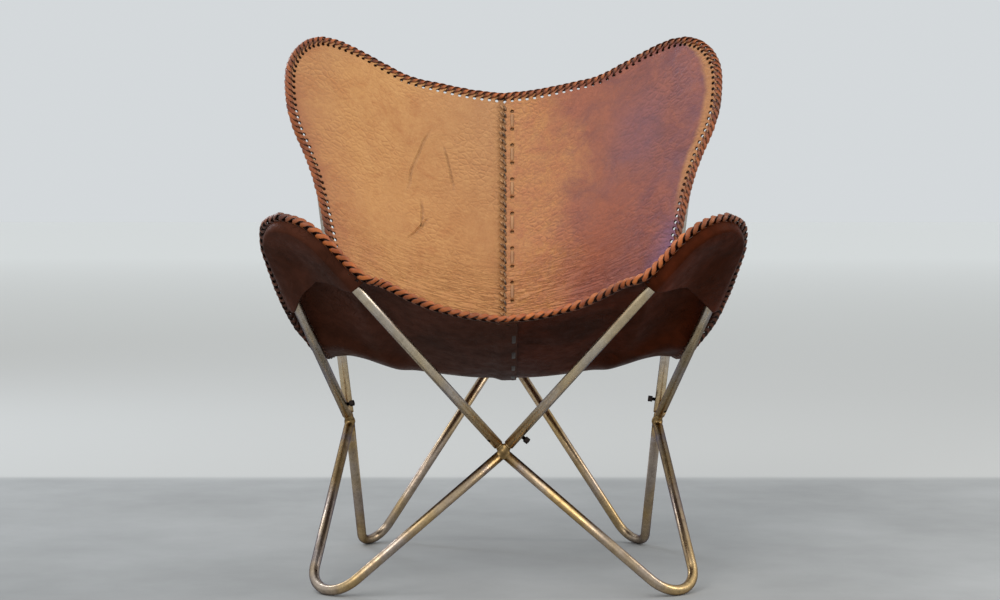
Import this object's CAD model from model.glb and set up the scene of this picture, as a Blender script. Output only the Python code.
"""Butterfly sling chair: laced leather on a knock-down frame of bent round steel.

The sizes are in millimetres, as in the part's source, and Y counts from the plane of the side hubs.
Every piece is made in metres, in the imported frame.
"""
import math
import random

import bmesh
import bpy
import numpy as np
from mathutils import Matrix, Vector, noise


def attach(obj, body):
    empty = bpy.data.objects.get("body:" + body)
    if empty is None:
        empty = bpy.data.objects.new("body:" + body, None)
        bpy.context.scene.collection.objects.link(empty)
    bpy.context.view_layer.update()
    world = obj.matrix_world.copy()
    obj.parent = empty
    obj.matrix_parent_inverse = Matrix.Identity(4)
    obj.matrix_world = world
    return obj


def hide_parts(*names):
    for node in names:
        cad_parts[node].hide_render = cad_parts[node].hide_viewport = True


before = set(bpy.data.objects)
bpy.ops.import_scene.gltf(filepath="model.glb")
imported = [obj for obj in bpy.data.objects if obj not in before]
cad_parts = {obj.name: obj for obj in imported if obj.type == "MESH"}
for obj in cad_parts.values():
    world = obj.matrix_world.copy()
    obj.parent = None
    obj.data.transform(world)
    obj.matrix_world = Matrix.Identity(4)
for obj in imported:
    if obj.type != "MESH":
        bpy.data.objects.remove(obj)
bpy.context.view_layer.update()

MM = 0.001
CHAIR_MIDDLE_Y = 11.388
BODY = "chair"

# Sizes shared with the part
TUBE_RADIUS = 8.0
TUBE_WALL = 1.5
TUBE_CLEARANCE = 1.0
LEATHER = 3.4
POCKET_LEATHER = 2.6
POCKET_GAP = 0.9
POCKET_CLEARANCE = 0.5
POCKET_ROUNDNESS = 3.2
POCKET_ROUND_REACH = 13
POCKET_ROUND_FALL = 0.2
POCKET_LEAST_ROUND = 1.8
POCKET_INSET = 6.5
POCKET_LEAST_REACH = 10.8
LAP_OVER = 3.0
LAP_UNDER = 21.0
LAP_JOGGLE = 20.0
LACE_GAP = 0.5
KNOT_REACH = 17.3
INTO_KNOT = 9.0

FRONT_HUB = Vector((0, -250, 222))
SIDE_HUB = Vector((254, 0, 243))
BACK_HUB = Vector((0, 262, 349))
UPPER_RISE = Vector((0, 0, 3))
FRONT_FOOT = (312.8, -270, 56)
BACK_FOOT = (248, 282, 40)
FRONT_TIP = Vector((420, -352, 700))
BACK_TIP = Vector((385, 375, 1076))
FRONT_TIP_BEND = 68
BACK_TIP_BEND = 62
HOOP_STANDOFF = 2
NECK_RADIUS = 7.0
NECK_REACH = 10
FIT_GAP = 0.3
SCREW_FROM_HUB = 36
GRUB_FROM_HUB = 28
SCREW_RADIUS = 3.0
SCREW_HEAD_ACROSS = 8.6
SCREW_HEAD_HEIGHT = 7.4
SCREW_HEAD_STANDOFF = 4.2
SCREW_DEPTH = 4.2

CENTRE_PROFILE = [
    (-262, 427), (-190, 386), (-110, 350), (-30, 324), (50, 316), (118, 339),
    (172, 404), (216, 498), (258, 616), (292, 711), (320, 792),
]
FRONT_EDGE = [(70, -265, 437), (132, -275, 459), (181, -290, 484)]
SIDE_EDGE = [
    (306, -92, 380), (291, -50, 361), (281, -5, 357), (272, 38, 382),
    (279, 78, 470), (300, 116, 572), (321, 148, 650),
]
BACK_TIP_SIDE = [
    (340, 697), (357, 735), (367, 772), (372, 814), (371, 841), (361, 867), (344, 884), (323, 891),
]
BACK_TIP_INNER = [(298, 887), (258, 870)]
BACK_EDGE = [(214, 331, 846), (168, 327, 823), (119, 324, 811), (55, 321, 798)]
FRONT_LEG_DOWN = [(66, 24), (28, 15)]
FRONT_SHARES = (0.06, 0.25)
FRONT_SIDE_SHARES = ((0.75, 17.5), (0.94, 20))
FRONT_SIDE_DOWN = [(30, 23), (100, 27), (160, 25)]
FRONT_MARGIN = 15
BACK_LIFT_EXTRA = 5
RISE_EXPONENT = 1.35
EDGE_FADE = 2.4
FRONT_POCKET = {"left": (72, 116, 35, 6), "right": (72, 116, 47, 1)}
BACK_POCKET = {"left": (60, 60, 70, 6), "right": (60, 60, 70, 6)}


def placed(points):
    """Points in the part's millimetres, put in the frame in metres."""
    return (np.asarray(points, float) - (0, CHAIR_MIDDLE_Y, 0)) * MM


def shown(name, data):
    """A new object in the scene that shows the data."""
    made = bpy.data.objects.new(name, data)
    bpy.context.scene.collection.objects.link(made)
    return made


# Camera
CAMERA_PLACE = Vector((0, -3.6714, 0.626))
CAMERA_PITCH = 2.83
LENS = 80.03
SENSOR_WIDTH = 36
SHIFT_X = -0.0035

camera = shown("camera", bpy.data.cameras.new("camera"))
camera.location = CAMERA_PLACE
camera.rotation_euler = (math.radians(90 - CAMERA_PITCH), 0, 0)
camera.data.lens = LENS
camera.data.sensor_width = SENSOR_WIDTH
camera.data.shift_x = SHIFT_X
bpy.context.scene.camera = camera


# Small makers
def piece_from(name, bm, materials, smooth=True):
    """A new object whose mesh is what the bmesh holds."""
    mesh = bpy.data.meshes.new(name)
    for face in bm.faces:
        face.smooth = smooth
    bm.to_mesh(mesh)
    bm.free()
    for material in materials:
        mesh.materials.append(material)
    return shown(name, mesh)


def apply_modifiers(piece):
    """Turns the piece into what its modifiers show."""
    graph = bpy.context.evaluated_depsgraph_get()
    seen = piece.evaluated_get(graph)
    made = bpy.data.meshes.new_from_object(seen, preserve_all_data_layers=True, depsgraph=graph)
    piece.modifiers.clear()
    piece.data = made


def grid_of(columns, rows):
    """A flat grid and the shares of its vertices across and along, both from 0 to 1."""
    bm = bmesh.new()
    bmesh.ops.create_grid(bm, x_segments=columns, y_segments=rows, size=0.5)
    shares = np.array([(v.co.x + 0.5, v.co.y + 0.5) for v in bm.verts])
    return bm, shares[:, 0], shares[:, 1]


def move_vertices(bm, points):
    for vertex, point in zip(bm.verts, points):
        vertex.co = point


def set_uv(bm, name, values):
    """Writes a UV map from one pair of numbers for each vertex."""
    layer = bm.loops.layers.uv.new(name)
    bm.verts.index_update()
    for face in bm.faces:
        for loop in face.loops:
            loop[layer].uv = values[loop.vert.index]


def unit(vectors):
    return vectors / np.linalg.norm(vectors, axis=-1, keepdims=True)


def reach_along(points):
    """How far each point lies from the first one, along the line through them."""
    return np.concatenate([[0], np.cumsum(np.linalg.norm(np.diff(points, axis=0), axis=1))])


def read_at(distance, reach, columns):
    """What the columns hold at a distance along the line."""
    return np.stack([np.interp(distance, reach, column) for column in columns.T], -1)


def smooth_step(value):
    share = np.clip(value, 0, 1)
    return share * share * (3 - 2 * share)


def on_left(point):
    return Vector((-point.x, point.y, point.z))


# The bent bars' centre lines
FOOT_ROUNDS = 12


def bent_line(leg_a, corner, leg_b, radius):
    """Two straight legs joined by an arc, with what later steps need."""
    a = (leg_a - corner).normalized()
    b = (leg_b - corner).normalized()
    half = a.angle(b) / 2
    middle = (a + b).normalized()
    centre = corner + middle * (radius / math.sin(half))
    normal = a.cross(b).normalized()
    start = corner + a * (radius / math.tan(half))
    end = corner + b * (radius / math.tan(half))
    start_arm = (start - centre).normalized()
    end_arm = (end - centre).normalized()
    turn = 1 if start_arm.cross(end_arm).dot(normal) >= 0 else -1
    return {
        "leg_a": leg_a, "leg_b": leg_b, "corner": corner, "a": a, "b": b, "middle": middle,
        "centre": centre, "normal": normal, "radius": radius, "start": start, "end": end,
        "start_arm": start_arm, "turn": turn, "sweep": math.pi - 2 * half,
    }


def foot_line(hub_a, hub_b, foot):
    """The line of a foot bend that stands on the floor."""
    x, y, radius = foot
    corner = Vector((x, y, 0))
    for _ in range(FOOT_ROUNDS):
        line = bent_line(hub_a, corner, hub_b, radius)
        drop = math.sqrt(1 - line["normal"].z ** 2)
        corner.z += TUBE_RADIUS - (line["centre"].z - radius * drop)
    start = hub_a + (corner - hub_a).normalized() * (KNOT_REACH - INTO_KNOT)
    end = hub_b + (corner - hub_b).normalized() * (KNOT_REACH - INTO_KNOT)
    return bent_line(start, corner.copy(), end, radius)


front_foot = foot_line(FRONT_HUB, SIDE_HUB, FRONT_FOOT)
back_foot = foot_line(BACK_HUB, SIDE_HUB, BACK_FOOT)
front_hoop = bent_line(FRONT_HUB + UPPER_RISE, FRONT_TIP, SIDE_HUB + UPPER_RISE, FRONT_TIP_BEND)
back_hoop = bent_line(BACK_HUB + UPPER_RISE, BACK_TIP, SIDE_HUB + UPPER_RISE, BACK_TIP_BEND)


def sitter_side(line):
    return line["normal"] * (1 if line["normal"].z > 0 else -1)


def arm_at(line, share):
    """The direction from the bend's centre to a share of its arc."""
    return Matrix.Rotation(line["turn"] * line["sweep"] * share, 3, line["normal"]) @ line["start_arm"]


def beside_tip(line, share, margin, raised):
    return line["centre"] + arm_at(line, share) * (line["radius"] + margin) + sitter_side(line) * raised


def beside_leg(line, leg, down, margin, raised):
    return beside_tip(line, 0 if leg == "a" else 1, margin, raised) + line[leg] * down


def on_hoop_plane(line, x, z, raised):
    normal = sitter_side(line)
    corner = line["corner"]
    level = raised - normal.x * (x - corner.x) - normal.z * (z - corner.z)
    return Vector((x, corner.y + level / normal.y, z))


# The sling's surface
CURL = 10.0
CURL_FROM = 3.0
CURL_OVER = 24.0
CURL_MOST = 1.2
CURL_EXPONENT = 1.5
CURL_DOWN = (-60, 30, 200, 300)
CURL_REACH = (60, 100)
CURVE_STEPS = 80
NORMAL_STEP = 0.004
NORMAL_INSET = 0.012
HALVINGS = 30


def curve_through(points):
    """A smooth line through the points, as a function of the share of its length."""
    p = np.array([tuple(q) for q in points], float)
    p = np.vstack([2 * p[0] - p[1], p, 2 * p[-1] - p[-2]])
    gaps = np.linalg.norm(np.diff(p, axis=0), axis=1) ** 0.5
    w = np.linspace(0, 1, CURVE_STEPS, endpoint=False)[:, None]
    parts = []
    for i in range(1, len(p) - 2):
        d0, d1, d2 = gaps[i - 1], gaps[i], gaps[i + 1]
        t1 = ((p[i] - p[i - 1]) / d0 - (p[i + 1] - p[i - 1]) / (d0 + d1) + (p[i + 1] - p[i]) / d1) * d1
        t2 = ((p[i + 1] - p[i]) / d1 - (p[i + 2] - p[i]) / (d1 + d2) + (p[i + 2] - p[i + 1]) / d2) * d1
        c2 = -3 * p[i] + 3 * p[i + 1] - 2 * t1 - t2
        c3 = 2 * p[i] - 2 * p[i + 1] + t1 + t2
        parts.append(p[i] + t1 * w + c2 * w ** 2 + c3 * w ** 3)
    line = np.vstack([*parts, p[-2]])
    reach = reach_along(line)

    def at(shares):
        return read_at(np.asarray(shares, float) * reach[-1], reach, line)

    at.length = reach[-1]
    return at


LIFT = TUBE_RADIUS + TUBE_CLEARANCE + LEATHER / 2
BACK_LIFT = LIFT + BACK_LIFT_EXTRA
tip_middle = beside_tip(front_hoop, 0.5, FRONT_MARGIN, LIFT)
centre_curve = curve_through([(0, y, z) for y, z in CENTRE_PROFILE])
front_curve = curve_through([
    (0, *CENTRE_PROFILE[0]), *FRONT_EDGE,
    *[beside_leg(front_hoop, "a", down, margin, LIFT) for down, margin in FRONT_LEG_DOWN],
    *[beside_tip(front_hoop, share, FRONT_MARGIN, LIFT) for share in FRONT_SHARES],
    tip_middle,
])
side_curve = curve_through([
    tip_middle,
    *[beside_tip(front_hoop, share, margin, LIFT) for share, margin in FRONT_SIDE_SHARES],
    *[beside_leg(front_hoop, "b", down, margin, LIFT) for down, margin in FRONT_SIDE_DOWN],
    *SIDE_EDGE,
    *[on_hoop_plane(back_hoop, x, z, BACK_LIFT) for x, z in BACK_TIP_SIDE],
])
back_curve = curve_through([
    (0, *CENTRE_PROFILE[-1]), *BACK_EDGE[::-1],
    *[on_hoop_plane(back_hoop, x, z, BACK_LIFT) for x, z in BACK_TIP_INNER[::-1]],
    on_hoop_plane(back_hoop, *BACK_TIP_SIDE[-1], BACK_LIFT),
])
front_ends = front_curve([0, 1])
back_ends = back_curve([0, 1])


def sling_points(u, v):
    """Points of the sling in millimetres. u runs from the centre to an edge, minus on the left, and v from
    the front to the back."""
    u, v = np.broadcast_arrays(np.asarray(u, float), np.asarray(v, float))
    share = np.clip(np.abs(u), 0, 1)
    front, back = front_curve(share), back_curve(share)
    centre, side = centre_curve(v), side_curve(v)
    near_front = (np.clip(1 - v, 0, 1) ** EDGE_FADE)[..., None]
    near_back = (np.clip(v, 0, 1) ** EDGE_FADE)[..., None]
    rise = share ** RISE_EXPONENT
    weight = np.stack([share, rise, rise], -1)
    points = (1 - weight) * centre + weight * side
    points = points + near_front * (front - (1 - weight) * front_ends[0] - weight * front_ends[1])
    points = points + near_back * (back - (1 - weight) * back_ends[0] - weight * back_ends[1])
    points[..., 0] = np.where(u < 0, -points[..., 0], points[..., 0])
    return curled(points)


def curled(points):
    """The sling's outer edge curls round the front tubes: it drops away from the sitter's side."""
    inner = np.array(sitter_side(front_hoop))
    arm = np.array(arm_at(front_hoop, 1))
    moved = np.concatenate([np.abs(points[..., :1]), points[..., 1:]], -1)
    beside = moved - np.array(front_hoop["end"])
    down, reach = beside @ np.array(front_hoop["b"]), beside @ arm
    begins, full, fades, ends = CURL_DOWN
    part = smooth_step((down - begins) / (full - begins))
    part = part * (1 - smooth_step((down - fades) / (ends - fades)))
    part = part * (1 - smooth_step((reach - CURL_REACH[0]) / (CURL_REACH[1] - CURL_REACH[0])))
    drop = CURL * part * np.clip((reach - CURL_FROM) / CURL_OVER, 0, CURL_MOST) ** CURL_EXPONENT
    moved = moved - inner * drop[..., None]
    moved[..., 0] = np.where(points[..., 0] < 0, -moved[..., 0], moved[..., 0])
    return moved


def sling_normals(u, v):
    u = np.clip(u, NORMAL_INSET - 1, 1 - NORMAL_INSET)
    v = np.clip(v, NORMAL_INSET, 1 - NORMAL_INSET)
    across = sling_points(u + NORMAL_STEP, v) - sling_points(u - NORMAL_STEP, v)
    along = sling_points(u, v + NORMAL_STEP) - sling_points(u, v - NORMAL_STEP)
    return unit(np.cross(across, along))


def share_at_x(x, v):
    """The place across the sling where a given x is reached on each row v."""
    low = np.full_like(np.asarray(v, float), -0.5)
    high = -low
    for _ in range(HALVINGS):
        middle = (low + high) / 2
        below = sling_points(middle, v)[..., 0] < x
        low = np.where(below, middle, low)
        high = np.where(below, high, middle)
    return (low + high) / 2


# Finishes
def feed(made, inputs):
    """Sets a node's inputs: a socket is linked, and a number or colour goes on the node's own socket."""
    for key, value in inputs.items():
        socket = made.inputs[key]
        if isinstance(value, bpy.types.NodeSocket):
            made.id_data.links.new(value, socket)
        else:
            socket.default_value = (*value, 1) if socket.type == "RGBA" else value


def finish_named(name, inputs):
    """A material and its shader."""
    material = bpy.data.materials.new(name)
    material.use_nodes = True
    shader = material.node_tree.nodes["Principled BSDF"]
    feed(shader, inputs)
    return material, shader


def node(kind, inputs, tree=None, **settings):
    """A node with its settings, in the given tree or in the one that its inputs come from."""
    if tree is None:
        tree = next(value.id_data for value in inputs.values() if isinstance(value, bpy.types.NodeSocket))
    made = tree.nodes.new("ShaderNode" + kind)
    for key, value in settings.items():
        setattr(made, key, value)
    feed(made, inputs)
    return made


def object_place(shader):
    return node("TexCoord", {}, shader.id_data).outputs["Object"]


def uv_place(shader, name):
    return node("UVMap", {}, shader.id_data, uv_map=name).outputs["UV"]


def split(place):
    return tuple(node("SeparateXYZ", {"Vector": place}).outputs)


def maths(operation, a, b=0.0):
    return node("Math", {0: a, 1: b}, operation=operation).outputs[0]


def added(a, b):
    return maths("ADD", a, b)


def less(a, b):
    return maths("SUBTRACT", a, b)


def size_of(a):
    return maths("ABSOLUTE", a)


def product(*values):
    made = values[0]
    for value in values[1:]:
        made = maths("MULTIPLY", made, value)
    return made


def cloud_of(place, scale, detail=4, roughness=0.55, distortion=0.0):
    return node("TexNoise", {
        "Vector": place, "Scale": scale, "Detail": detail, "Roughness": roughness, "Distortion": distortion,
    }).outputs["Fac"]


def cells_of(place, scale, feature="F1"):
    return node("TexVoronoi", {"Vector": place, "Scale": scale}, feature=feature).outputs["Distance"]


def stretched(place, scale):
    """The place with each direction multiplied by its own scale."""
    return node("Mapping", {"Vector": place, "Scale": scale}).outputs["Vector"]


def ramp_of(factor, stops):
    """A colour ramp. Each stop is a position with a colour, or with one number for a grey."""
    made = node("ValToRGB", {"Fac": factor})
    elements = made.color_ramp.elements
    while len(elements) < len(stops):
        elements.new(0.5)
    for element, (position, colour) in zip(elements, stops):
        element.position = position
        element.color = (*colour, 1) if isinstance(colour, tuple) else (colour, colour, colour, 1)
    return made.outputs["Color"]


def grey_ramp(factor, low, high, from_value=0.0, to_value=1.0):
    return ramp_of(factor, [(low, from_value), (high, to_value)])


def mixed(factor, a, b, blend="MIX"):
    return node("Mix", {0: factor, 6: a, 7: b}, data_type="RGBA", blend_type=blend).outputs[2]


def bumped(height, distance, strength, under=None, invert=False):
    inputs = {"Height": height, "Distance": distance, "Strength": strength}
    if under is not None:
        inputs["Normal"] = under
    return node("Bump", inputs, invert=invert).outputs["Normal"]


def linear(red, green, blue):
    """A colour given in screen values from 0 to 255, as the shader wants it."""
    out = []
    for value in (red, green, blue):
        part = value / 255
        out.append(part / 12.92 if part <= 0.04045 else ((part + 0.055) / 1.055) ** 2.4)
    return tuple(out)


def palette(*colours):
    return [linear(*colour) for colour in colours]


def dimmed(colour, share):
    return tuple(part * share for part in colour)


def blended_noise(place, scale, detail, roughness, contrast):
    """Cloudy patches from 0 to 1, with the contrast pulled up round the middle."""
    return grey_ramp(cloud_of(place, scale, detail, roughness), 0.5 - contrast, 0.5 + contrast)


def near_weld(place):
    """The distance to the nearest weld, in metres, the same on the left and the right."""
    x, y, z = split(place)
    folded = node("CombineXYZ", {"X": size_of(x), "Y": y, "Z": z}).outputs["Vector"]
    front, side, back = [
        node("VectorMath", {0: folded, 1: placed(hub)}, operation="DISTANCE").outputs["Value"]
        for hub in (FRONT_HUB, SIDE_HUB, BACK_HUB)
    ]
    return maths("MINIMUM", maths("MINIMUM", front, side), back)


BLUE_RIM = (0.22, 0.25, 0.40)
GREY_RIM = (0.3, 0.3, 0.32)
BAR_HEATS = palette((134, 106, 68), (184, 154, 104), (176, 150, 116), (150, 146, 160))
TUBE_HEATS = palette((214, 176, 122), (244, 216, 170), (238, 214, 176), (220, 212, 214))
BLACK_HEATS = palette((48, 42, 38)) * 4


def burnished_steel(name, colours, tints, roughness, heats=BAR_HEATS, heat_reach=1, rim=BLUE_RIM):
    """Bare bent steel, browned by torch and wax, with straw and blue heat colours by the welds."""
    material, shader = finish_named(name, {"Metallic": 1.0, "Specular Tint": rim})
    place = object_place(shader)
    blotches = cloud_of(place, 9, 5, 0.6, 0.4)
    patches = blended_noise(place, 5, 3, 0.5, 0.14)
    blue_patches = blended_noise(stretched(place, (1.3, 0.9, 0.7)), 11, 3, 0.5, 0.1)
    grime = cloud_of(place, 120, 6, 0.7)
    specks = cloud_of(place, 620, 3, 0.6)
    rubbed = cloud_of(stretched(place, (1, 1, 0.25)), 300, 3, 0.6)
    colour = ramp_of(blotches, list(zip((0.3, 0.5, 0.7), colours)))
    colour = mixed(product(patches, 0.6), colour, tints[0])
    colour = mixed(product(blue_patches, 0.35), colour, tints[1])
    weld_distance = added(maths("DIVIDE", near_weld(place), heat_reach), product(blotches, 0.03))
    heat = ramp_of(weld_distance, [(0.015, 1.0), (0.045, 0.8), (0.06, 0.0)])
    heat_colour = ramp_of(weld_distance, list(zip((0.018, 0.032, 0.043, 0.054), heats)))
    colour = mixed(heat, colour, heat_colour)
    colour = mixed(grey_ramp(grime, 0.45, 0.7, 0.0, 0.4), colour, tints[2])
    feed(shader, {
        "Base Color": colour,
        "Roughness": added(grey_ramp(grime, 0.3, 0.75, *roughness), grey_ramp(rubbed, 0.35, 0.8, 0.0, 0.12)),
        "Normal": bumped(specks, 0.00008, 0.4, bumped(grime, 0.0002, 0.25)),
    })
    return material


bar_steel = burnished_steel(
    "bar_steel", palette((146, 124, 92), (184, 160, 122), (208, 186, 148)),
    palette((216, 178, 116), (164, 168, 190), (80, 62, 44)), (0.2, 0.36))
tube_steel = burnished_steel(
    "tube_steel", palette((204, 184, 150), (230, 210, 176), (242, 228, 202)),
    palette((230, 200, 150), (202, 212, 232), (140, 122, 94)), (0.18, 0.32), TUBE_HEATS, 3.2)
weld_steel = burnished_steel(
    "weld_steel", palette((106, 86, 58), (142, 116, 78), (174, 148, 106)),
    palette((158, 124, 78), (124, 116, 120), (52, 40, 28)), (0.26, 0.45))
black_steel = burnished_steel(
    "black_steel", palette((34, 29, 26), (50, 43, 38), (70, 60, 54)),
    palette((84, 68, 56), (48, 50, 58), (18, 15, 14)), (0.3, 0.5), BLACK_HEATS, 1, GREY_RIM)

NET_SCALE = (70, 100, 1)
NET_WARP = (0.012, 0.012, 0.012)
NET_WIDTH = 0.2
CREASE_SCALE = (18, 200, 1)
CREASE_WIDTH = 0.05
FOLD_WIDTH = 0.0019
FOLD_WANDER = 0.012
# How far the lit flank of a crease lies from its line, in metres on the hide's own map.
FLANK = (0.0005, 0.0024, 0)


def crease_net(place):
    """A net of fine creases: the borders of warped cells."""
    spread = node("TexNoise", {"Vector": place, "Scale": 18.0, "Detail": 4.0, "Roughness": 0.6})
    warp = {0: spread.outputs["Color"], 1: NET_WARP, 2: place}
    warped = node("VectorMath", warp, operation="MULTIPLY_ADD").outputs["Vector"]
    borders = cells_of(stretched(warped, NET_SCALE), 1.0, "DISTANCE_TO_EDGE")
    return grey_ramp(borders, 0.0, NET_WIDTH, 1.0, 0.0)


def ridge_lines(place, scale, width):
    """Creases that run across the hide: lines where a stretched noise passes its middle."""
    clouds = cloud_of(stretched(place, scale), 1.0, 5, 0.62, 0.9)
    return grey_ramp(size_of(less(clouds, 0.5)), 0.0, width, 1.0, 0.0)


def fold(place, start, end, bow):
    """One crease on the hide's own map, 1 along its line and 0 away from it and past its two ends, and the
    same for its lit flank."""
    reach = math.dist(start, end)
    lean = math.atan2(end[1] - start[1], end[0] - start[0])
    laid = node("Mapping", {
        "Vector": place, "Location": (start[0], start[1], 0), "Rotation": (0, 0, lean),
    }, vector_type="TEXTURE").outputs["Vector"]
    along, across, _ = split(laid)
    wander = product(less(cloud_of(place, 14, 2), 0.5), FOLD_WANDER)
    bowed = product(along, less(along, reach), 4 * bow / reach ** 2)
    beside = added(added(across, wander), bowed)
    line = grey_ramp(size_of(beside), 0.0, FOLD_WIDTH, 1.0, 0.0)
    lit = grey_ramp(size_of(added(beside, FOLD_WIDTH)), 0.0, FOLD_WIDTH, 1.0, 0.0)
    ends = ramp_of(maths("DIVIDE", along, reach), [(0.0, 0.0), (0.2, 1.0), (0.75, 1.0), (1.0, 0.0)])
    return product(line, ends), product(lit, ends)


def relief(low, lit):
    """A grey round its middle: darker in the creases and lighter on the flanks beside them."""
    return added(product(less(lit, low), 0.5), 0.5)


def hide(name, zones, marks, roughness, edge_zones, folds, grain_depth):
    """Waxed leather's grain side, on the panel's own map: metres from the centre and along the sling."""
    material, shader = finish_named(name, {
        "Coat Weight": 0.06, "Coat Roughness": 0.4, "Specular IOR Level": 0.36,
    })
    pale, stain, fine = marks
    place = uv_place(shader, "hide")
    across_share, along_share, _ = split(uv_place(shader, "share"))
    clouds = cloud_of(place, 6, 6, 0.62, 0.5)
    small_clouds = cloud_of(place, 30, 6, 0.68, 0.4)
    fine_clouds = cloud_of(place, 130, 5, 0.65, 0.2)
    wobble = product(less(clouds, 0.5), 0.7)
    colour = ramp_of(added(across_share, wobble), zones)
    colour = mixed(grey_ramp(small_clouds, 0.38, 0.7, 0.0, 0.6), colour, pale)
    stains = cloud_of(place, 13, 6, 0.72, 1.4)
    stain_mask = product(grey_ramp(stains, 0.48, 0.68, 0.0, 0.75), grey_ramp(across_share, 0.1, 0.4))
    colour = mixed(stain_mask, colour, stain)
    zone_across = added(across_share, product(wobble, 0.15))
    zone_along = added(along_share, product(wobble, 0.2))
    for tint, across_stops, along_stops in edge_zones:
        zone = product(ramp_of(zone_across, across_stops), ramp_of(zone_along, along_stops))
        colour = mixed(zone, colour, tint)
    colour = mixed(grey_ramp(fine_clouds, 0.42, 0.7, 0.0, 0.34), colour, fine)

    bend_mask = ramp_of(along_share, [(0.0, 0.2), (0.3, 0.4), (0.46, 0.9), (0.58, 0.75), (0.7, 0.0)])
    bend_mask = product(bend_mask, grey_ramp(across_share, 0.3, 0.95, 1.0, 0.4))
    net_mask = blended_noise(place, 8, 3, 0.5, 0.12)
    flank = node("Mapping", {"Vector": place, "Location": FLANK}).outputs["Vector"]
    creases, lit_creases = [
        product(ridge_lines(spot, CREASE_SCALE, CREASE_WIDTH), bend_mask) for spot in (place, flank)]
    net, lit_net = [product(crease_net(spot), net_mask) for spot in (place, flank)]
    fold_lines = [fold(place, *where) for where in folds]
    reliefs = [(0.4, creases, lit_creases), (0.24, net, lit_net), *[(0.34, *lines) for lines in fold_lines]]
    for amount, low, lit in reliefs:
        colour = mixed(amount, colour, relief(low, lit), "OVERLAY")
    grain = grey_ramp(cloud_of(place, 420, 4, 0.75), 0.3, 0.7, 0.2, 0.8)
    grain_mask = blended_noise(place, 7, 4, 0.45, 0.2)
    colour = mixed(product(grain_mask, grain_depth), colour, grain, "OVERLAY")

    normal = bumped(cells_of(place, 430.0), 0.0003, 0.6, invert=True)
    normal = bumped(fine_clouds, 0.0006, 0.7, normal)
    normal = bumped(net, 0.0005, 0.6, normal, invert=True)
    normal = bumped(creases, 0.001, 0.75, normal, invert=True)
    for low, _ in fold_lines:
        normal = bumped(low, 0.003, 0.9, normal, invert=True)
    normal = bumped(small_clouds, 0.005, 0.5, normal)
    feed(shader, {
        "Base Color": colour, "Normal": normal, "Roughness": grey_ramp(small_clouds, 0.3, 0.7, *roughness),
    })
    return material


OVER_TIP = [(0.6, 0.0), (0.72, 1.0)]
tan_hide = hide(
    "tan_hide",
    [(0.0, linear(190, 132, 81)), (0.3, linear(196, 139, 84)), (0.65, linear(201, 145, 87)),
     (1.0, linear(184, 122, 75))],
    palette((214, 160, 102), (180, 116, 66), (176, 116, 66)),
    (0.42, 0.6),
    [(linear(150, 84, 64), [(0.88, 0.0), (1.0, 0.75)], [(0.5, 0.0), (0.6, 0.6), (0.8, 0.9), (0.9, 0.3)]),
     (linear(184, 138, 100), [(0.0, 0.35), (0.5, 0.0)], [(0.6, 0.0), (0.95, 1.0)])],
    [((-0.146, 0.905), (-0.1935, 0.75), -0.008), ((-0.122, 0.875), (-0.101, 0.78), 0.003),
     ((-0.168, 0.75), (-0.164, 0.685), 0.002), ((-0.15, 0.72), (-0.196, 0.655), 0.004)],
    0.16,
)
brown_hide = hide(
    "brown_hide",
    [(0.02, linear(200, 140, 82)), (0.2, linear(194, 131, 74)), (0.4, linear(156, 90, 64)),
     (0.55, linear(140, 78, 64)), (0.8, linear(128, 74, 72)), (1.0, linear(118, 74, 84))],
    palette((180, 106, 78), (122, 70, 66), (120, 66, 52)),
    (0.4, 0.56),
    [(linear(186, 128, 78), [(0.93, 0.0), (0.955, 1.0)], OVER_TIP),
     (linear(120, 98, 148), [(0.82, 0.0), (0.96, 0.7)],
      [(0.36, 0.0), (0.46, 1.0), (0.56, 0.8), (0.64, 0.0)]),
     (linear(120, 82, 100), [(0.45, 0.0), (0.56, 0.5), (0.68, 0.5), (0.78, 0.0)],
      [(0.74, 0.0), (0.8, 0.8), (0.88, 0.8), (0.94, 0.0)]),
     (linear(164, 88, 52), [(0.3, 0.0), (0.45, 0.5), (0.62, 0.5), (0.75, 0.0)],
      [(0.56, 0.0), (0.62, 0.8), (0.7, 0.8), (0.76, 0.0)]),
     (linear(196, 128, 72), [(0.2, 0.9), (0.62, 0.0)], [(0.0, 0.9), (0.22, 0.8), (0.42, 0.0)])],
    [],
    0.4,
)

BACK_CREASE_SCALE = (34, 24, 34)
BACK_CREASE_WIDTH = 0.02


def dark_side(name, base, red, sheen_tint):
    """The dyed back of the hide: dark, smooth and waxy, with soft cloudy marks."""
    material, shader = finish_named(name, {"Specular IOR Level": 0.03, "Specular Tint": sheen_tint})
    place = object_place(shader)
    clouds = cloud_of(place, 9, 5, 0.6, 0.6)
    small_clouds = cloud_of(place, 55, 5, 0.62)
    colour = ramp_of(clouds, [(0.3, base), (0.72, red)])
    colour = mixed(grey_ramp(small_clouds, 0.4, 0.75, 0.0, 0.45), colour, dimmed(base, 0.5))
    mask = grey_ramp(cloud_of(place, 12, 2), 0.5, 0.62)
    creases = product(ridge_lines(place, BACK_CREASE_SCALE, BACK_CREASE_WIDTH), mask)
    normal = bumped(cells_of(place, 600.0), 0.0002, 0.6, invert=True)
    normal = bumped(creases, 0.0012, 0.6, normal, invert=True)
    normal = bumped(clouds, 0.008, 0.35, normal)
    feed(shader, {
        "Base Color": colour, "Normal": normal, "Roughness": grey_ramp(small_clouds, 0.3, 0.7, 0.36, 0.55),
    })
    return material


dark_left = dark_side("dark_back_left", linear(58, 32, 22), linear(88, 48, 34), (1.0, 0.8, 0.7))
dark_right = dark_side("dark_back_right", linear(48, 21, 9), linear(94, 40, 20), (1.0, 0.75, 0.6))


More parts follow.
